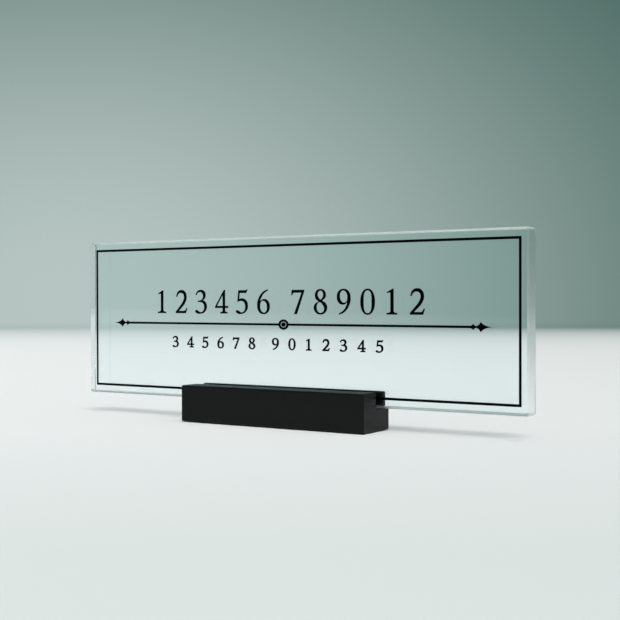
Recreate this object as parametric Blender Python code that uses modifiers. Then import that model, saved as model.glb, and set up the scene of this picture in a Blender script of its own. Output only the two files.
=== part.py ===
# Desk nameplate: a clear acrylic plate standing in the open slot of a black base block.
# Metres, +Z up. The origin is on the desk below the middle of the base block, +X runs along the
# plate towards the reader's right and the plate is read from the -Y side.

import bmesh
import bpy

# Clear plate
PLATE_WIDTH = 0.250
PLATE_HEIGHT = 0.080
PLATE_THICKNESS = 0.0085
PLATE_CHAMFER = 0.0008

# Base block
BASE_LENGTH = 0.104
BASE_DEPTH = 0.024
BASE_HEIGHT = 0.0178
BASE_EDGE_RADIUS = 0.0007      # also breaks the edges of the slot
BASE_EDGE_SEGMENTS = 4

# Slot that holds the plate, open at both ends of the block
SLOT_DEPTH = 0.0075
SLOT_SETBACK = 0.0             # front wall of the slot behind the block's middle plane
SLOT_CLEARANCE = 0.0003        # in front of, behind and below the plate

# Rubber feet, each set in a shallow round recess
FOOT_RADIUS = 0.0045
FOOT_THICKNESS = 0.0013
FOOT_PROUD = 0.0004            # how far a foot lifts the block off the desk
FOOT_EDGE_RADIUS = 0.0003
FOOT_EDGE_SEGMENTS = 2
FOOT_STEPS = 40
FOOT_CLEARANCE = 0.0003        # round the foot and above it in its recess
FOOT_END_MARGIN = 0.005        # from the recess to the end of the block
FOOT_SIDE_MARGIN = 0.0014      # from the recess to the front and back of the block

# Finishes
ACRYLIC_TINT = (0.90, 0.98, 0.95)
ACRYLIC_ROUGHNESS = 0.02
ACRYLIC_IOR = 1.49
SATIN_BLACK = (0.012, 0.013, 0.013)
SATIN_ROUGHNESS = 0.38
RUBBER_BLACK = (0.02, 0.02, 0.02)
RUBBER_ROUGHNESS = 0.75

# Modelling tolerances
CUT_OVERRUN = 0.002            # reach of a cutter beyond the faces that it opens
WELD_DISTANCE = 0.00001
SMOOTH_ANGLE = 0.6             # radians, edges sharper than this stay crisp

# Places worked out from the sizes above
BLOCK_BOTTOM_Z = FOOT_PROUD
BLOCK_TOP_Z = BLOCK_BOTTOM_Z + BASE_HEIGHT
SLOT_FLOOR_Z = BLOCK_TOP_Z - SLOT_DEPTH
SLOT_WIDTH = PLATE_THICKNESS + 2 * SLOT_CLEARANCE
SLOT_MID_Y = SLOT_SETBACK + SLOT_WIDTH / 2
PLATE_BOTTOM_Z = SLOT_FLOOR_Z + SLOT_CLEARANCE
RECESS_RADIUS = FOOT_RADIUS + FOOT_CLEARANCE
RECESS_TOP_Z = FOOT_THICKNESS + FOOT_CLEARANCE
FOOT_X = BASE_LENGTH / 2 - FOOT_END_MARGIN - RECESS_RADIUS
FOOT_Y = BASE_DEPTH / 2 - FOOT_SIDE_MARGIN - RECESS_RADIUS

FOOT_PLACES = {
    "foot_front_left": (-FOOT_X, -FOOT_Y),
    "foot_front_right": (FOOT_X, -FOOT_Y),
    "foot_back_left": (-FOOT_X, FOOT_Y),
    "foot_back_right": (FOOT_X, FOOT_Y),
}


def clear_scene():
    for item in list(bpy.data.objects):
        bpy.data.objects.remove(item, do_unlink=True)


def new_collection(name):
    group = bpy.data.collections.new(name)
    bpy.context.scene.collection.children.link(group)
    return group


def principled(name, color, roughness):
    material = bpy.data.materials.new(name)
    material.use_nodes = True
    shader = material.node_tree.nodes["Principled BSDF"]
    shader.inputs["Base Color"].default_value = (*color, 1.0)
    shader.inputs["Roughness"].default_value = roughness
    shader.inputs["Metallic"].default_value = 0.0
    return material


def acrylic():
    material = principled("clear_acrylic", ACRYLIC_TINT, ACRYLIC_ROUGHNESS)
    shader = material.node_tree.nodes["Principled BSDF"]
    shader.inputs["Transmission Weight"].default_value = 1.0
    shader.inputs["IOR"].default_value = ACRYLIC_IOR
    return material


def add_object(name, mesh, group, place):
    item = bpy.data.objects.new(name, mesh)
    item.location = place
    group.objects.link(item)
    return item


def add_cutter(name, mesh, group, place):
    cutter = add_object(name, mesh, group, place)
    cutter.hide_render = True
    cutter.display_type = "WIRE"
    return cutter


def box_mesh(name, length, depth, height):
    # A box that stands on its own origin
    mesh = bpy.data.meshes.new(name)
    shape = bmesh.new()
    bmesh.ops.create_cube(shape, size=1.0)
    bmesh.ops.scale(shape, verts=shape.verts, vec=(length, depth, height))
    bmesh.ops.translate(shape, verts=shape.verts, vec=(0.0, 0.0, height / 2))
    shape.to_mesh(mesh)
    shape.free()
    return mesh


def disc_mesh(name, radius, height):
    # A round disc that stands on its own origin
    mesh = bpy.data.meshes.new(name)
    shape = bmesh.new()
    bmesh.ops.create_cone(shape, cap_ends=True, segments=FOOT_STEPS, radius1=radius, radius2=radius, depth=height)
    bmesh.ops.translate(shape, verts=shape.verts, vec=(0.0, 0.0, height / 2))
    shape.to_mesh(mesh)
    shape.free()
    return mesh


def bevel_edges(item, name, width, segments):
    bevel = item.modifiers.new(name, "BEVEL")
    bevel.width = width
    bevel.segments = segments
    bevel.limit_method = "ANGLE"


def cut(item, cutter):
    boolean = item.modifiers.new(cutter.name, "BOOLEAN")
    boolean.operation = "DIFFERENCE"
    boolean.solver = "EXACT"
    boolean.object = cutter


def slot_cutter(group):
    # Runs out past both ends of the block and above it
    length = BASE_LENGTH + 2 * CUT_OVERRUN
    mesh = box_mesh("slot", length, SLOT_WIDTH, SLOT_DEPTH + CUT_OVERRUN)
    return add_cutter("slot", mesh, group, (0.0, SLOT_MID_Y, SLOT_FLOOR_Z))


def recess_cutter(name, group, x, y):
    # Comes up from below the block, as deep as the foot that it makes room for
    start = BLOCK_BOTTOM_Z - CUT_OVERRUN
    mesh = disc_mesh(name, RECESS_RADIUS, RECESS_TOP_Z - start)
    return add_cutter(name, mesh, group, (x, y, start))


def base_block(group, cutters):
    mesh = box_mesh("base_block", BASE_LENGTH, BASE_DEPTH, BASE_HEIGHT)
    mesh.materials.append(principled("black_satin", SATIN_BLACK, SATIN_ROUGHNESS))
    block = add_object("base_block", mesh, group, (0.0, 0.0, BLOCK_BOTTOM_Z))
    cut(block, slot_cutter(cutters))
    bevel_edges(block, "softened_edges", BASE_EDGE_RADIUS, BASE_EDGE_SEGMENTS)
    for name, (x, y) in FOOT_PLACES.items():
        cut(block, recess_cutter(name + "_recess", cutters, x, y))


def name_plate(group):
    # The plate's origin is on the line along which it lifts straight up out of the slot
    mesh = box_mesh("name_plate", PLATE_WIDTH, PLATE_THICKNESS, PLATE_HEIGHT)
    mesh.materials.append(acrylic())
    plate = add_object("name_plate", mesh, group, (0.0, SLOT_MID_Y, PLATE_BOTTOM_Z))
    bevel_edges(plate, "polished_chamfer", PLATE_CHAMFER, 1)


def foot_profile(group):
    # Half section of a foot: out from the axis at the top, down the side and back in below
    mesh = bpy.data.meshes.new("foot_profile")
    shape = bmesh.new()
    points = [(0.0, FOOT_THICKNESS), (FOOT_RADIUS, FOOT_THICKNESS), (FOOT_RADIUS, 0.0), (0.0, 0.0)]
    corners = [shape.verts.new((radius, 0.0, height)) for radius, height in points]
    for start, end in zip(corners, corners[1:]):
        shape.edges.new((start, end))
    bmesh.ops.bevel(shape, geom=[corners[2]], offset=FOOT_EDGE_RADIUS, segments=FOOT_EDGE_SEGMENTS,
                    profile=0.5, affect="VERTICES")
    shape.to_mesh(mesh)
    shape.free()
    return add_object("foot_profile", mesh, group, (0.0, 0.0, 0.0))


def turned_foot(group):
    # Spins the profile into one foot, whose mesh the four feet share
    profile = foot_profile(group)
    turn = profile.modifiers.new("turned", "SCREW")
    turn.steps = FOOT_STEPS
    turn.render_steps = FOOT_STEPS
    turn.use_merge_vertices = True
    turn.merge_threshold = WELD_DISTANCE
    turn.use_normal_calculate = True
    bpy.context.view_layer.update()
    depsgraph = bpy.context.evaluated_depsgraph_get()
    mesh = bpy.data.meshes.new_from_object(profile.evaluated_get(depsgraph))
    mesh.name = "foot"
    mesh.shade_smooth()
    mesh.set_sharp_from_angle(angle=SMOOTH_ANGLE)
    bpy.data.objects.remove(profile, do_unlink=True)
    return mesh


def rubber_feet(group):
    mesh = turned_foot(group)
    mesh.materials.append(principled("black_rubber", RUBBER_BLACK, RUBBER_ROUGHNESS))
    for name, (x, y) in FOOT_PLACES.items():
        add_object(name, mesh, group, (x, y, 0.0))


def build():
    clear_scene()
    parts = new_collection("office_nameplate")
    cutters = new_collection("cutters")
    base_block(parts, cutters)
    name_plate(parts)
    rubber_feet(parts)


build()
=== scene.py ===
import math

import bpy
from mathutils import Euler, Matrix, Vector


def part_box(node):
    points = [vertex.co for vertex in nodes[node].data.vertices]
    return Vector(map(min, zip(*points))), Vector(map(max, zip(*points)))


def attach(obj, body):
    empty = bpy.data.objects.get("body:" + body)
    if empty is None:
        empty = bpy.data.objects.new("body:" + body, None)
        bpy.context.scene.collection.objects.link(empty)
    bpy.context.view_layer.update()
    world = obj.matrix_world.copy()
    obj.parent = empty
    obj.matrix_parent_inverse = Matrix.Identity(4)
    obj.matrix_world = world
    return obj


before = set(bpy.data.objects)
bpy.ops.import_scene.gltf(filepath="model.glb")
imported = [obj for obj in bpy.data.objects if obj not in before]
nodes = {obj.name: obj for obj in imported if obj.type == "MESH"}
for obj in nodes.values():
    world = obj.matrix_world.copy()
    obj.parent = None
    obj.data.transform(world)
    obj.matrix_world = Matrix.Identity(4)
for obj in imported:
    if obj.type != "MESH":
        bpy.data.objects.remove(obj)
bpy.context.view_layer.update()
print("frame loaded:", sorted(nodes))


# small helpers for objects

def deselectAll():
    if bpy.context.object and bpy.context.object.mode != "OBJECT":
        bpy.ops.object.mode_set(mode="OBJECT")
    bpy.ops.object.select_all(action="DESELECT")


def pickOnly(item):
    deselectAll()
    item.select_set(True)
    bpy.context.view_layer.objects.active = item


def settle(item):
    # the place goes into the mesh, and the object ends at the origin
    pickOnly(item)
    bpy.ops.object.transform_apply(location=True, rotation=True, scale=True)


# small helpers for materials

def newMaterial(name):
    material = bpy.data.materials.new(name)
    material.use_nodes = True
    tree = material.node_tree
    return material, tree, tree.nodes["Principled BSDF"]


def addNode(tree, kind, **inputs):
    node = tree.nodes.new(kind)
    for key, value in inputs.items():
        node.inputs[key.replace("_", " ")].default_value = value
    return node


def objectPoints(tree, scale=(1.0, 1.0, 1.0)):
    # object coordinates in metres, with a scale for a pattern that is finer along one axis than another
    coords = tree.nodes.new("ShaderNodeTexCoord")
    mapping = tree.nodes.new("ShaderNodeMapping")
    mapping.inputs["Scale"].default_value = scale
    tree.links.new(coords.outputs["Object"], mapping.inputs["Vector"])
    return mapping.outputs["Vector"]


def noise(tree, points, scale, detail=4.0):
    node = addNode(tree, "ShaderNodeTexNoise", Scale=scale, Detail=detail)
    tree.links.new(points, node.inputs["Vector"])
    return node.outputs["Fac"]


def remap(tree, value, low, high, outLow, outHigh):
    node = addNode(tree, "ShaderNodeMapRange", From_Min=low, From_Max=high, To_Min=outLow, To_Max=outHigh)
    tree.links.new(value, node.inputs["Value"])
    return node.outputs["Result"]


def maths(tree, operation, first, second=0.0):
    node = tree.nodes.new("ShaderNodeMath")
    node.operation = operation
    for socket, value in zip(node.inputs, (first, second)):
        if isinstance(value, (int, float)):
            socket.default_value = value
        else:
            tree.links.new(value, socket)
    return node.outputs["Value"]


def alongDirection(tree, points, direction):
    node = tree.nodes.new("ShaderNodeVectorMath")
    node.operation = "DOT_PRODUCT"
    node.inputs[1].default_value = direction
    tree.links.new(points, node.inputs[0])
    return node.outputs["Value"]


def scaled(tree, colour, factor):
    node = tree.nodes.new("ShaderNodeVectorMath")
    node.operation = "SCALE"
    node.inputs["Scale"].default_value = factor
    tree.links.new(colour, node.inputs[0])
    return node.outputs["Vector"]


def colourBlend(tree, factor, first, second):
    # each colour is a tuple or a socket
    node = tree.nodes.new("ShaderNodeMix")
    node.data_type = "RGBA"
    colourA, colourB = [socket for socket in node.inputs if socket.type == "RGBA"]
    for socket, value in ((colourA, first), (colourB, second)):
        if isinstance(value, tuple):
            socket.default_value = (*value, 1.0)
        else:
            tree.links.new(value, socket)
    tree.links.new(factor, node.inputs["Factor"])
    return [socket for socket in node.outputs if socket.type == "RGBA"][0]


def mixShaders(tree, factor, first, second):
    mix = tree.nodes.new("ShaderNodeMixShader")
    tree.links.new(factor, mix.inputs["Fac"])
    tree.links.new(first.outputs[0], mix.inputs[1])
    tree.links.new(second.outputs[0], mix.inputs[2])
    return mix


def showShader(tree, shader):
    tree.links.new(shader.outputs[0], tree.nodes["Material Output"].inputs["Surface"])


noiseSpread = (0.3, 0.7)    # most of a noise pattern lies between these


def mottle(tree, shader, values, tonePattern, roughPattern):
    # a colour and a roughness that vary a little over the surface
    tone = colourBlend(tree, tonePattern, values["dark"], values["light"])
    tree.links.new(tone, shader.inputs["Base Color"])
    rough = remap(tree, roughPattern, *noiseSpread, *values["rough"])
    tree.links.new(rough, shader.inputs["Roughness"])


def grainBump(tree, shader, pattern, values):
    bump = addNode(tree, "ShaderNodeBump", Strength=values["grainStrength"], Distance=values["grainDepth"])
    tree.links.new(pattern, bump.inputs["Height"])
    tree.links.new(bump.outputs["Normal"], shader.inputs["Normal"])


# clear acrylic with polished faces, and edges with a fine satin that shows softly what lies behind

plateFinish = {
    "ior": 1.49,
    "tint": (0.925, 1.0, 1.0),
    "castSize": 22.0,                     # faint clouds in the tint
    "castShade": 0.985,
    "rough": (0.0, 0.015),                # from clear to lightly wiped
    "wipeSize": (60.0, 60.0, 240.0),
    "wipeSpread": (0.35, 0.75),
    "lampsThrough": (0.985, 0.99, 0.99),
    "lampsAtTop": (0.0, 0.01, 0.01),      # the top edge leads the light away and casts a dark line
    "topReach": (0.040, 0.060),           # heights between which an edge starts to count as the top one
}
edgeFinish = {
    "ior": 1.14,
    "tint": (0.78, 0.86, 0.805),
    # painted light: towards the bottom the edges lose the acrylic's green tint and turn lighter, as if lit
    # by the bright desk beneath
    "paintedLightBelow": (1.0, 1.0, 1.0),
    "paintedLightReach": (0.01, 0.06),
    "sawSize": (900.0, 120.0, 900.0),
    "sawShade": 0.97,
    "rough": (0.5, 0.65),
    "gloss": 1.0,
    "glossRough": 0.25,
    "endLow": (1.0, 1.0, 1.0),
    "endPaintedShade": (0.34, 0.38, 0.345),       # painted shade: the two ends are darker towards the top
    "endShadeReach": (0.015, 0.058),           # heights between which the painted shade deepens
}
# how squarely a face looks along an axis, from where it doesn't count to where it counts in full
facingLimits = {
    "broad": (0.85, 0.97),      # a broad face, along Y
    "end": (0.45, 0.75),        # an end, along X
    "notEnd": (0.4, 0.65),      # the chamfers above and below an end, along Z
    "level": (0.5, 0.8),        # the top edge, along Z
}


def squarely(tree, direction):
    # how squarely the surface looks along a direction, either way
    normal = tree.nodes.new("ShaderNodeTexCoord").outputs["Normal"]
    return maths(tree, "ABSOLUTE", alongDirection(tree, normal, direction))


def endMask(tree):
    sideways = remap(tree, squarely(tree, (1.0, 0.0, 0.0)), *facingLimits["end"], 0.0, 1.0)
    upright = remap(tree, squarely(tree, (0.0, 0.0, 1.0)), *facingLimits["notEnd"], 1.0, 0.0)
    return maths(tree, "MULTIPLY", sideways, upright)


def polishedFaces(tree, shader):
    values = plateFinish
    shader.inputs["IOR"].default_value = values["ior"]
    shader.inputs["Transmission Weight"].default_value = 1.0
    cast = noise(tree, objectPoints(tree), values["castSize"])
    deeper = tuple(values["castShade"] * part for part in values["tint"])
    tree.links.new(colourBlend(tree, cast, values["tint"], deeper), shader.inputs["Base Color"])
    wipe = noise(tree, objectPoints(tree, values["wipeSize"]), 1.0)
    rough = remap(tree, wipe, *values["wipeSpread"], *values["rough"])
    tree.links.new(rough, shader.inputs["Roughness"])


def satinEdges(tree, height, ends):
    values = edgeFinish
    satin = tree.nodes.new("ShaderNodeBsdfPrincipled")
    satin.inputs["IOR"].default_value = values["ior"]
    satin.inputs["Transmission Weight"].default_value = 1.0
    satin.inputs["Coat Weight"].default_value = values["gloss"]
    satin.inputs["Coat Roughness"].default_value = values["glossRough"]
    saw = noise(tree, objectPoints(tree, values["sawSize"]), 1.0)
    # painted light: the lower edges stay untinted and so lighter; higher up they take the acrylic's own
    # green tint
    upper = remap(tree, height, *values["paintedLightReach"], 0.0, 1.0)
    tone = colourBlend(tree, upper, values["paintedLightBelow"], values["tint"])
    tone = colourBlend(tree, saw, tone, scaled(tree, tone, values["sawShade"]))
    # painted shade: the ends grow darker towards the top, away from the bright desk whose light they pipe
    # in below
    rise = remap(tree, height, *values["endShadeReach"], 0.0, 1.0)
    paintedEndShade = colourBlend(tree, rise, values["endLow"], values["endPaintedShade"])
    tree.links.new(colourBlend(tree, ends, tone, paintedEndShade), satin.inputs["Base Color"])
    tree.links.new(remap(tree, saw, *noiseSpread, *values["rough"]), satin.inputs["Roughness"])
    return satin


def lampLight(tree, height):
    # what lamps and the room's light keep on their way to the desk through the clear plate
    values = plateFinish
    level = remap(tree, squarely(tree, (0.0, 0.0, 1.0)), *facingLimits["level"], 0.0, 1.0)
    atTop = maths(tree, "MULTIPLY", level, remap(tree, height, *values["topReach"], 0.0, 1.0))
    clear = tree.nodes.new("ShaderNodeBsdfTransparent")
    through = colourBlend(tree, atTop, values["lampsThrough"], values["lampsAtTop"])
    tree.links.new(through, clear.inputs["Color"])
    return clear


def acrylicMaterial():
    # the broad faces look along Y, and all that turns away from it is an edge; an end mirrors from within
    material, tree, shader = newMaterial("clearAcrylic")
    height = alongDirection(tree, objectPoints(tree), (0.0, 0.0, 1.0))
    ends = endMask(tree)
    polishedFaces(tree, shader)
    satin = satinEdges(tree, height, ends)
    inside = tree.nodes.new("ShaderNodeNewGeometry").outputs["Backfacing"]
    broad = remap(tree, squarely(tree, (0.0, 1.0, 0.0)), *facingLimits["broad"], 0.0, 1.0)
    polished = maths(tree, "MAXIMUM", broad, maths(tree, "MULTIPLY", ends, inside))
    body = mixShaders(tree, polished, satin, shader)
    path = tree.nodes.new("ShaderNodeLightPath")
    clear = lampLight(tree, height)
    for ray in ("Is Diffuse Ray", "Is Shadow Ray"):
        body = mixShaders(tree, path.outputs[ray], body, clear)
    showShader(tree, body)
    return material


# satin black block and rubber feet

blockFinish = {
    "dark": (0.0035, 0.0040, 0.0040),
    "light": (0.0060, 0.0066, 0.0066),
    "shine": 0.16,
    "rough": (0.34, 0.44),
    "cloudSize": 60.0,
    "roughSize": 240.0,
    "grainSize": 3500.0,
    "grainStrength": 0.35,
    "grainDepth": 0.000012,
}


def satinMaterial():
    material, tree, shader = newMaterial("satinBlack")
    values = blockFinish
    shader.inputs["Specular IOR Level"].default_value = values["shine"]
    points = objectPoints(tree)
    cloud = noise(tree, points, values["cloudSize"], detail=3.0)
    mottle(tree, shader, values, cloud, noise(tree, points, values["roughSize"]))
    grainBump(tree, shader, noise(tree, points, values["grainSize"], detail=2.0), values)
    return material


feetFinish = {
    "dark": (0.016, 0.016, 0.016),
    "light": (0.028, 0.028, 0.028),
    "rough": (0.68, 0.85),
    "grainSize": 1800.0,
    "grainStrength": 0.4,
    "grainDepth": 0.00003,
}


def rubberMaterial():
    material, tree, shader = newMaterial("softRubber")
    values = feetFinish
    grain = noise(tree, objectPoints(tree), values["grainSize"], detail=3.0)
    mottle(tree, shader, values, grain, grain)
    grainBump(tree, shader, grain, values)
    return material


# printing ink

inkFinish = {
    "dark": (0.0003, 0.0007, 0.0007),
    "light": (0.0009, 0.0016, 0.0015),
    "shine": 0.02,
    "rough": (0.55, 0.7),
    "weaveSize": 2600.0,      # of the printing screen
}


def inkMaterial():
    material, tree, shader = newMaterial("printedInk")
    values = inkFinish
    shader.inputs["Specular IOR Level"].default_value = values["shine"]
    weave = noise(tree, objectPoints(tree), values["weaveSize"], detail=2.0)
    mottle(tree, shader, values, weave, weave)
    return material


# the print is laid out in millimetres from the middle of the plate's bottom edge

plateLow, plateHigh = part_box("name_plate")
millimetre = 0.001
inkFilm = {
    "gap": 0.00001,           # between the film and the plate's face
    "thickness": 0.00006,
    "weld": 0.000002,         # points closer than this become one
    "offset": 0.95,           # of the whole frame and ornament, towards the reader's right
}
ink = inkMaterial()


def finishPrint(item):
    # stands a film that was drawn flat up against the front of the plate
    settle(item)
    bpy.ops.object.mode_set(mode="EDIT")
    bpy.ops.mesh.select_all(action="SELECT")
    bpy.ops.mesh.remove_doubles(threshold=inkFilm["weld"])
    bpy.ops.mesh.normals_make_consistent(inside=False)
    bpy.ops.object.mode_set(mode="OBJECT")
    middleX = (plateLow.x + plateHigh.x) / 2
    faceY = plateLow.y - inkFilm["gap"] - inkFilm["thickness"] / 2
    upright = Matrix.Rotation(math.radians(90), 4, "X")
    item.matrix_world = Matrix.Translation((middleX, faceY, plateLow.z)) @ upright
    settle(item)
    item.data.materials.clear()
    item.data.materials.append(ink)
    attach(item, "plate")
    return item


def extrudeFilm():
    # gives the flat faces being edited the film's thickness, half to each side
    thickness = inkFilm["thickness"]
    bpy.ops.mesh.select_all(action="SELECT")
    bpy.ops.transform.translate(value=(0.0, 0.0, -thickness / 2))
    bpy.ops.mesh.extrude_region_move(TRANSFORM_OT_translate={"value": (0.0, 0.0, thickness)})
    bpy.ops.object.mode_set(mode="OBJECT")


frameLine = {
    "halfWidth": 120.87,
    "low": 3.91,
    "high": 76.13,
    "line": 1.2,
}


def printedFrame():
    values = frameLine
    deselectAll()
    width = 2 * values["halfWidth"] * millimetre
    height = (values["high"] - values["low"]) * millimetre
    middle = (values["high"] + values["low"]) / 2 * millimetre
    bpy.ops.mesh.primitive_plane_add(size=1.0, location=(inkFilm["offset"] * millimetre, middle, 0.0))
    item = bpy.context.object
    item.name = "printed_frame"
    item.scale = (width, height, 1.0)
    settle(item)
    bpy.ops.object.mode_set(mode="EDIT")
    bpy.ops.mesh.select_all(action="SELECT")
    bpy.ops.mesh.inset(thickness=values["line"] * millimetre)
    bpy.ops.mesh.delete(type="FACE")
    extrudeFilm()
    return finishPrint(item)


ornament = {
    "height": 37.5,
    "ruleThickness": 1.08,
    "ruleEnd": 98.0,        # from the middle
    "ringRadius": 2.5,
    "ringLine": 1.15,
    "dotRadius": 1.1,
    "wider": 1.19,          # of the ring and the dot, across over up
    "ringSteps": 64,
    "dotSteps": 32,
}


def ornamentRule(name, side):
    values = ornament
    deselectAll()
    start = (values["ringRadius"] - values["ringLine"] / 2) * values["wider"]
    length = (values["ruleEnd"] - start) * millimetre
    middle = inkFilm["offset"] + side * (values["ruleEnd"] + start) / 2
    place = (middle * millimetre, values["height"] * millimetre, 0.0)
    bpy.ops.mesh.primitive_plane_add(size=1.0, location=place)
    item = bpy.context.object
    item.name = name
    item.scale = (length, values["ruleThickness"] * millimetre, 1.0)
    settle(item)
    bpy.ops.object.mode_set(mode="EDIT")
    extrudeFilm()
    return finishPrint(item)


def finishRound(item):
    # a ring or dot that was drawn round the origin gets its width and its place in the middle of the rule
    item.scale = (ornament["wider"], 1.0, 1.0)
    item.location = (inkFilm["offset"] * millimetre, ornament["height"] * millimetre, 0.0)
    return finishPrint(item)


def ornamentRing():
    values = ornament
    deselectAll()
    steps = values["ringSteps"]
    outer = values["ringRadius"] * millimetre
    inner = outer - values["ringLine"] * millimetre
    bpy.ops.mesh.primitive_circle_add(vertices=steps, radius=outer, location=(0.0, 0.0, 0.0))
    item = bpy.context.object
    item.name = "ornament_ring"
    bpy.ops.object.mode_set(mode="EDIT")
    bpy.ops.mesh.primitive_circle_add(vertices=steps, radius=inner, location=(0.0, 0.0, 0.0))
    bpy.ops.mesh.select_all(action="SELECT")
    bpy.ops.mesh.bridge_edge_loops()
    extrudeFilm()
    return finishRound(item)


def ornamentDot():
    values = ornament
    deselectAll()
    radius = values["dotRadius"] * millimetre
    bpy.ops.mesh.primitive_circle_add(vertices=values["dotSteps"], radius=radius, fill_type="NGON",
                                      location=(0.0, 0.0, 0.0))
    item = bpy.context.object
    item.name = "ornament_dot"
    bpy.ops.object.mode_set(mode="EDIT")
    extrudeFilm()
    return finishRound(item)


# an outline is a list of (x, y, kind): "c" is a corner, "s" a smooth point

curveSteps = 8      # between two points


def flatOutline(name, outlines, size, bolder=0.0):
    # a film cut to the outlines, each with its own place; an outline inside another is a hole in it
    sheet = bpy.data.curves.new(name, "CURVE")
    sheet.dimensions = "2D"
    sheet.fill_mode = "BOTH"
    sheet.resolution_u = curveSteps
    sheet.extrude = inkFilm["thickness"] / 2
    sheet.offset = bolder * millimetre
    for points, place in outlines:
        line = sheet.splines.new("BEZIER")
        line.bezier_points.add(len(points) - 1)
        line.use_cyclic_u = True
        for knot, (x, y, kind) in zip(line.bezier_points, points):
            knot.co = (place[0] + x * size[0], place[1] + y * size[1], 0.0)
            handle = "VECTOR" if kind == "c" else "AUTO"
            knot.handle_left_type = handle
            knot.handle_right_type = handle
    item = bpy.data.objects.new(name, sheet)
    bpy.context.scene.collection.objects.link(item)
    pickOnly(item)
    bpy.ops.object.convert(target="MESH")
    return bpy.context.object


# upper half of a finial, from the rule to its point: its corners, and for each side between two of them the
# point that it is drawn towards
finial = {
    "corners": [(97.1, 0.45), (98.75, 1.45), (100.15, 0.35), (102.3, 2.35), (107.6, 0.0)],
    "towards": [(98.3, 0.6), (99.2, 0.55), (101.6, 0.85), (103.2, 0.45)],
    "steps": 6,
}


def swoop(start, towards, end, steps):
    # points of a curve that leaves start for towards and arrives at end
    points = []
    for step in range(steps):
        t = step / steps
        early, middle, late = (1 - t) ** 2, 2 * t * (1 - t), t * t
        x, y = [early * a + middle * b + late * c for a, b, c in zip(start, towards, end)]
        points.append((x, y))
    return points


def ornamentFinial(name, side):
    corners = finial["corners"]
    upper = []
    for start, towards, end in zip(corners, finial["towards"], corners[1:]):
        upper += swoop(start, towards, end, finial["steps"])
    lower = [(x, -y) for x, y in reversed(upper)]
    loop = [(side * x, y, "c") for x, y in upper + [corners[-1]] + lower]
    place = (inkFilm["offset"] * millimetre, ornament["height"] * millimetre)
    return finishPrint(flatOutline(name, [(loop, place)], (millimetre, millimetre)))


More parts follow.
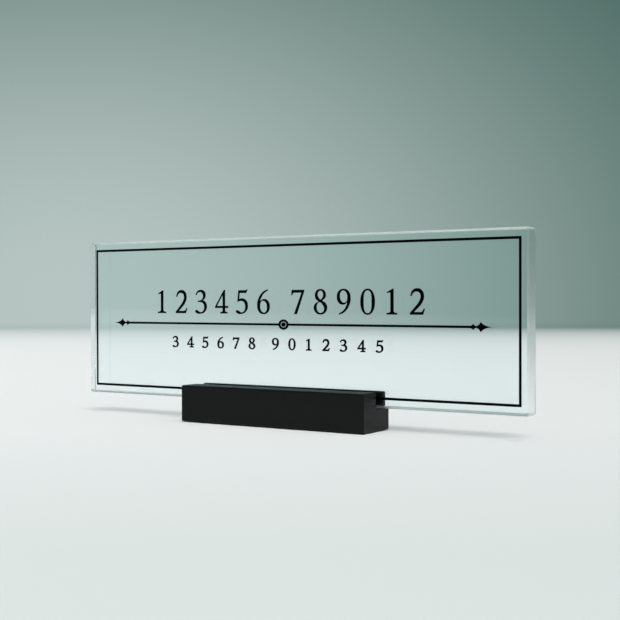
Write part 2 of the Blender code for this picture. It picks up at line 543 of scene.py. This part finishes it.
# figures of a plain serif; the first outline of each is its edge, and any others are the holes in it
numerals = {
    "0": [[(29, 102, "s"), (57, 50, "s"), (29, -2, "s"), (1, 50, "s")],
          [(29, 97, "s"), (45.5, 50, "s"), (29, 3, "s"), (12.5, 50, "s")]],
    "1": [[(8, 0, "c"), (48, 0, "c"), (48, 4, "c"), (38, 6.5, "s"), (34, 11, "c"), (34, 101, "c"),
           (31, 101, "c"), (10, 88, "c"), (11, 85, "c"), (20, 88, "s"), (23, 86, "c"), (23, 11, "c"),
           (19, 6.5, "s"), (8, 4, "c")]],
    "2": [[(2, 0, "c"), (50, 0, "c"), (56, 21, "c"), (52.5, 21.5, "c"), (48, 12, "s"), (41, 8.5, "c"),
           (14, 8.5, "c"), (31.5, 27, "s"), (46.5, 47, "s"), (53, 72, "s"), (46, 94, "s"),
           (28, 102, "s"), (11, 94, "s"), (3.5, 74, "c"), (7, 73, "c"), (13, 85, "s"), (25, 91, "s"),
           (37, 86, "s"), (42, 71, "s"), (36, 51, "s"), (20, 28, "s"), (2, 6, "c")]],
    "3": [[(3, 83, "c"), (12, 97, "s"), (28, 102, "s"), (44, 95, "s"), (49, 79, "s"), (44, 64, "s"),
           (34, 56, "c"), (47, 50, "s"), (55, 30, "s"), (47, 8, "s"), (24, -2, "s"), (7, 1, "s"),
           (1, 8, "s"), (6, 13, "s"), (13, 10, "s"), (24, 3.5, "s"), (38, 9, "s"), (43.5, 28, "s"),
           (37, 45, "s"), (22, 50, "s"), (14, 50, "c"), (14, 54, "c"), (22, 55, "s"), (33, 61, "s"),
           (38, 75, "s"), (33, 90, "s"), (22, 94, "s"), (12, 90, "s"), (6, 81, "c")]],
    "4": [[(24, 0, "c"), (56, 0, "c"), (56, 4, "c"), (48, 6, "c"), (45, 10, "c"), (45, 24, "c"),
           (59, 24, "c"), (59, 31, "c"), (45, 31, "c"), (45, 101, "c"), (40, 101, "c"), (0, 29, "c"),
           (0, 24, "c"), (35, 24, "c"), (35, 10, "c"), (32, 6, "c"), (24, 4, "c")],
          [(35, 31, "c"), (35, 82, "c"), (7, 31, "c")]],
    "5": [[(12, 99, "c"), (46, 99, "c"), (50, 103, "c"), (52, 102, "c"), (47, 89, "c"), (17, 89, "c"),
           (14.5, 60, "c"), (26, 64, "s"), (46, 56, "s"), (54, 34, "s"), (46, 9, "s"), (24, -2, "s"),
           (7, 1, "s"), (1, 8, "s"), (6, 13, "s"), (13, 10, "s"), (24, 3.5, "s"), (38, 10, "s"),
           (43, 31, "s"), (37, 49, "s"), (23, 55, "s"), (12, 52, "s"), (8, 50, "c")]],
    "6": [[(47, 102, "c"), (26, 91, "s"), (8, 65, "s"), (2, 33, "s"), (10, 7, "s"), (29, -2, "s"),
           (48, 6, "s"), (56, 30, "s"), (49, 53, "s"), (33, 61, "s"), (22, 58, "s"), (16, 53, "s"),
           (19, 68, "s"), (30, 86, "s"), (48, 99, "c")],
          [(13.5, 34, "s"), (18, 12, "s"), (30, 3, "s"), (41, 9, "s"), (45, 29, "s"), (40, 47, "s"),
           (29, 55, "s"), (18, 50, "s")]],
    "7": [[(4, 99, "c"), (56, 99, "c"), (56, 95, "c"), (25, -1, "c"), (14, -1, "c"), (46, 89, "c"),
           (14, 89, "c"), (8, 86, "s"), (5, 78, "c"), (2, 79, "c")]],
    "8": [[(29, 102, "s"), (45, 95, "s"), (51, 78, "s"), (46, 64, "s"), (37, 55, "s"), (48, 46, "s"),
           (56, 27, "s"), (48, 6, "s"), (29, -2, "s"), (10, 6, "s"), (2, 26, "s"), (9, 43, "s"),
           (20, 51, "s"), (11, 61, "s"), (7, 77, "s"), (13, 95, "s")],
          [(29, 97, "s"), (38, 91, "s"), (41, 78, "s"), (37, 66, "s"), (31, 59, "s"), (22, 65, "s"),
           (17, 79, "s"), (20, 91, "s")],
          [(25, 49, "s"), (15, 40, "s"), (12.5, 26, "s"), (18, 9, "s"), (29, 3, "s"), (40, 8, "s"),
           (45, 22, "s"), (40, 36, "s")]],
}
figureWidth = 58.0      # in the units of the points
figureHeight = 100.0


def turnedHalfRound(loop):
    return [(figureWidth - x, figureHeight - y, kind) for x, y, kind in loop]


numerals["9"] = [turnedHalfRound(loop) for loop in numerals["6"]]

largeRow = {
    "left": -78.15,
    "right": 76.6,
    "baseline": 42.75,
    "height": 11.35,
    "stretch": 1.18,        # wider than the figures were drawn
    "bolder": 0.14,         # millimetres that every stroke gains on each side
    "gap": 12.1,            # between the two groups
    "groups": ("123456", "789012"),
}
smallRow = {
    "left": -67.4,
    "right": 55.6,
    "baseline": 25.5,
    "height": 5.25,
    "stretch": 1.32,
    "bolder": 0.22,
    "gap": 9.85,
    "groups": ("345678", "9012345"),
}


def numeralRow(name, values):
    # evenly spaced figures in two groups, spread between the row's two ends
    tall = values["height"] * millimetre / figureHeight
    size = (tall * values["stretch"], tall)
    groups = values["groups"]
    count = sum(len(group) for group in groups)
    wide = figureWidth * values["stretch"] * values["height"] / figureHeight
    room = values["right"] - values["left"] - count * wide - values["gap"]
    space = room / (count - len(groups))
    outlines = []
    x = values["left"]
    for group in groups:
        for figure in group:
            for loop in numerals[figure]:
                outlines.append((loop, (x * millimetre, values["baseline"] * millimetre)))
            x += wide + space
        x += values["gap"] - space
    return finishPrint(flatOutline(name, outlines, size, values["bolder"]))


# floor, backdrop, lamps and camera

eye = {
    "place": (0.30206, -0.44622, 0.06078),
    "tilt": 89.433,
    "roll": 0.116,
    "turn": 32.641,
    "lens": 65.288,
    "sensor": 36.0,
    "nearest": 0.01,
    "farthest": 60.0,
}


def viewDirection():
    turn = math.radians(eye["turn"])
    return Vector((-math.sin(turn), math.cos(turn), 0.0))


def acrossDirection():
    turn = math.radians(eye["turn"])
    return Vector((math.cos(turn), math.sin(turn), 0.0))


def placeCamera():
    lensBody = bpy.data.cameras.new("deskCamera")
    lensBody.lens = eye["lens"]
    lensBody.sensor_width = eye["sensor"]
    lensBody.clip_start = eye["nearest"]
    lensBody.clip_end = eye["farthest"]
    camera = bpy.data.objects.new("deskCamera", lensBody)
    camera.location = eye["place"]
    camera.rotation_euler = Euler([math.radians(eye[key]) for key in ("tilt", "roll", "turn")], "XYZ")
    bpy.context.scene.collection.objects.link(camera)
    bpy.context.scene.camera = camera


wallFinish = {
    "distance": 2.347,                 # from the camera
    "size": (26.0, 5.0),
    "bright": (0.465, 0.558, 0.539),
    "dim": (0.002, 0.078, 0.055),
    "brightPlace": (-0.504, 0.0626),   # across from the middle, and above the floor
    "brightReach": (1.161, 0.754),
    "footLine": (0.004, 0.013),        # a thin line of painted shade above the floor
    "footShade": 0.93,
    "leftFrom": (-0.68, -1.0),         # across, where the darker and the paler side of the room begin
    "rightFrom": (4.2, 5.6),
    "leftShade": 0.25,
    "least": 0.17,
    "rightShade": (0.53, 0.57, 0.56),
}
floorFinish = {
    "size": 30.0,
    "rough": 0.9,
    "shine": 0.1,
    "near": (0.722, 0.776, 0.761),
    "far": (0.828, 0.862, 0.855),
    "nearDepth": (0.27, 0.53),         # from the camera, along its view
    "sideways": (-0.35, 0.35),         # across, over which the shade drops
    "sideShade": 0.88,
    "footDepth": (1.15, 2.3),
    "footPower": 1.9,
    "behindDepth": (-0.1, -1.6),
    "litReach": (0.42, 0.75),          # from the object; past it the floor shows its painted shade
}


def wallShade(tree, across, above):
    # painted light and shade: one soft bright patch on a dim wall, between a darker and a paler side of the
    # room
    # across and above are sockets that give metres, and above may also be a plain number
    values = wallFinish
    offsets = []
    for position, place, reach in zip((across, above), values["brightPlace"], values["brightReach"]):
        offset = maths(tree, "DIVIDE", maths(tree, "SUBTRACT", position, place), reach)
        offsets.append(maths(tree, "MULTIPLY", offset, offset))
    fade = maths(tree, "EXPONENT", maths(tree, "MULTIPLY", maths(tree, "ADD", *offsets), -1.0))
    fade = maths(tree, "MULTIPLY", fade, remap(tree, across, *values["leftFrom"], 1.0, values["leftShade"]))
    fade = maths(tree, "MAXIMUM", fade, values["least"])
    wall = colourBlend(tree, fade, values["dim"], values["bright"])
    right = remap(tree, across, *values["rightFrom"], 0.0, 1.0)
    return colourBlend(tree, right, wall, values["rightShade"])


def floorShade(tree, depth, across):
    # painted shade: palest in the middle distance, darker near the camera and to the right, then the
    # backdrop's shade towards the wall's foot; behind the camera the horizon's shade
    values = floorFinish
    near = remap(tree, depth, *values["nearDepth"], 0.0, 1.0)
    paint = colourBlend(tree, near, values["near"], values["far"])
    side = remap(tree, across, *values["sideways"], 0.0, 1.0)
    paint = colourBlend(tree, side, paint, scaled(tree, paint, values["sideShade"]))
    foot = remap(tree, depth, *values["footDepth"], 0.0, 1.0)
    foot = maths(tree, "POWER", foot, values["footPower"])
    paint = colourBlend(tree, foot, paint, wallShade(tree, across, 0.0))
    behind = remap(tree, depth, *values["behindDepth"], 0.0, 1.0)
    return colourBlend(tree, behind, paint, lamps["horizonShade"])


def wallMaterial():
    # the backdrop shows its painted shade, not lamp light
    material, tree, shader = newMaterial("shadedBackdrop")
    tree.nodes.remove(shader)
    values = wallFinish
    points = objectPoints(tree)
    across = alongDirection(tree, points, (1.0, 0.0, 0.0))
    above = maths(tree, "ADD", alongDirection(tree, points, (0.0, 1.0, 0.0)), values["size"][1] / 2)
    shade = wallShade(tree, across, above)
    foot = remap(tree, above, *values["footLine"], 1.0, 0.0)
    tone = colourBlend(tree, foot, shade, scaled(tree, shade, values["footShade"]))
    glow = tree.nodes.new("ShaderNodeEmission")
    tree.links.new(tone, glow.inputs["Color"])
    showShader(tree, glow)
    return material


def floorMaterial():
    # a matt floor that takes the object's shadow and shows its plain painted shade further away
    material, tree, shader = newMaterial("paleFloor")
    values = floorFinish
    shader.inputs["Roughness"].default_value = values["rough"]
    shader.inputs["Specular IOR Level"].default_value = values["shine"]
    coords = tree.nodes.new("ShaderNodeTexCoord")
    fromEye = tree.nodes.new("ShaderNodeVectorMath")
    fromEye.operation = "SUBTRACT"
    fromEye.inputs[1].default_value = eye["place"]
    tree.links.new(coords.outputs["Object"], fromEye.inputs[0])
    depth = alongDirection(tree, fromEye.outputs["Vector"], viewDirection())
    across = alongDirection(tree, fromEye.outputs["Vector"], acrossDirection())
    painted = floorShade(tree, depth, across)
    tree.links.new(painted, shader.inputs["Base Color"])
    glow = tree.nodes.new("ShaderNodeEmission")
    tree.links.new(painted, glow.inputs["Color"])
    away = tree.nodes.new("ShaderNodeVectorMath")
    away.operation = "LENGTH"
    tree.links.new(coords.outputs["Object"], away.inputs[0])
    unlit = remap(tree, away.outputs["Value"], *values["litReach"], 0.0, 1.0)
    showShader(tree, mixShaders(tree, unlit, shader, glow))
    return material


def placeStage():
    deselectAll()
    bpy.ops.mesh.primitive_plane_add(size=floorFinish["size"], location=(0.0, 0.0, 0.0))
    floor = bpy.context.object
    floor.name = "paleFloor"
    floor.data.materials.append(floorMaterial())
    deselectAll()
    wide, tall = wallFinish["size"]
    middle = Vector(eye["place"]) + viewDirection() * wallFinish["distance"]
    bpy.ops.mesh.primitive_plane_add(size=1.0, location=(0.0, 0.0, 0.0))
    wall = bpy.context.object
    wall.name = "backdrop"
    wall.scale = (wide, tall, 1.0)
    settle(wall)
    wall.location = (middle.x, middle.y, tall / 2)
    wall.rotation_euler = (math.radians(90), 0.0, math.radians(eye["turn"]))
    wall.data.materials.append(wallMaterial())


lamps = {
    "worldLight": (0.584, 0.550, 0.562),
    "horizonShade": (0.09, 0.23, 0.225),
    "highShade": (0.08, 0.16, 0.155),
    "highFrom": 0.5,          # upward part of a direction at which the high shade is reached
    "from": (0.15, -0.165, 1.0),
    "softness": 13.0,         # degrees
    "strength": 2.06,
}


def shownRays(tree):
    # camera, gloss and see-through rays, which all show the backdrop's own shade
    path = tree.nodes.new("ShaderNodeLightPath")
    gloss = maths(tree, "MAXIMUM", path.outputs["Is Glossy Ray"], path.outputs["Is Transmission Ray"])
    return maths(tree, "MAXIMUM", path.outputs["Is Camera Ray"], gloss)


def placeWorld():
    # an even light, behind which the room shows its own shade
    world = bpy.data.worlds.new("paleStudio")
    bpy.context.scene.world = world
    world.use_nodes = True
    tree = world.node_tree
    lit = tree.nodes["Background"]
    lit.inputs["Color"].default_value = (*lamps["worldLight"], 1.0)
    shown = tree.nodes.new("ShaderNodeBackground")
    coords = tree.nodes.new("ShaderNodeTexCoord")
    height = alongDirection(tree, coords.outputs["Generated"], (0.0, 0.0, 1.0))
    rise = remap(tree, height, 0.0, lamps["highFrom"], 0.0, 1.0)
    shade = colourBlend(tree, rise, lamps["horizonShade"], lamps["highShade"])
    tree.links.new(shade, shown.inputs["Color"])
    mix = mixShaders(tree, shownRays(tree), lit, shown)
    tree.links.new(mix.outputs["Shader"], tree.nodes["World Output"].inputs["Surface"])


def placeLamp():
    glare = bpy.data.lights.new("overheadLight", "SUN")
    glare.angle = math.radians(lamps["softness"])
    glare.energy = lamps["strength"]
    lamp = bpy.data.objects.new("overheadLight", glare)
    lamp.location = lamps["from"]
    lamp.rotation_euler = Vector(lamps["from"]).to_track_quat("Z", "Y").to_euler()
    bpy.context.scene.collection.objects.link(lamp)


# putting it together

def dressNode(name, material):
    node = nodes[name]
    if node.material_slots:
        node.material_slots[0].material = material
    else:
        node.data.materials.append(material)


print("dressing the plate, the block and the feet")
dressNode("name_plate", acrylicMaterial())
dressNode("base_block", satinMaterial())
rubber = rubberMaterial()
for name in sorted(nodes):
    if name.startswith("foot_"):
        dressNode(name, rubber)

print("printing the plate")
printedFrame()
ornamentRule("ornament_rule_left", -1)
ornamentRule("ornament_rule_right", 1)
ornamentRing()
ornamentDot()
ornamentFinial("ornament_finial_left", -1)
ornamentFinial("ornament_finial_right", 1)
numeralRow("numerals_large", largeRow)
numeralRow("numerals_small", smallRow)

print("setting up the studio")
placeStage()
placeWorld()
placeLamp()
placeCamera()
scene = bpy.context.scene
scene.view_settings.view_transform = "Standard"
bounces = 40    # light runs many times along the inside of the plate before it leaves by an edge
scene.cycles.max_bounces = bounces
scene.cycles.glossy_bounces = bounces
scene.cycles.transmission_bounces = bounces
scene.cycles.caustics_reflective = False
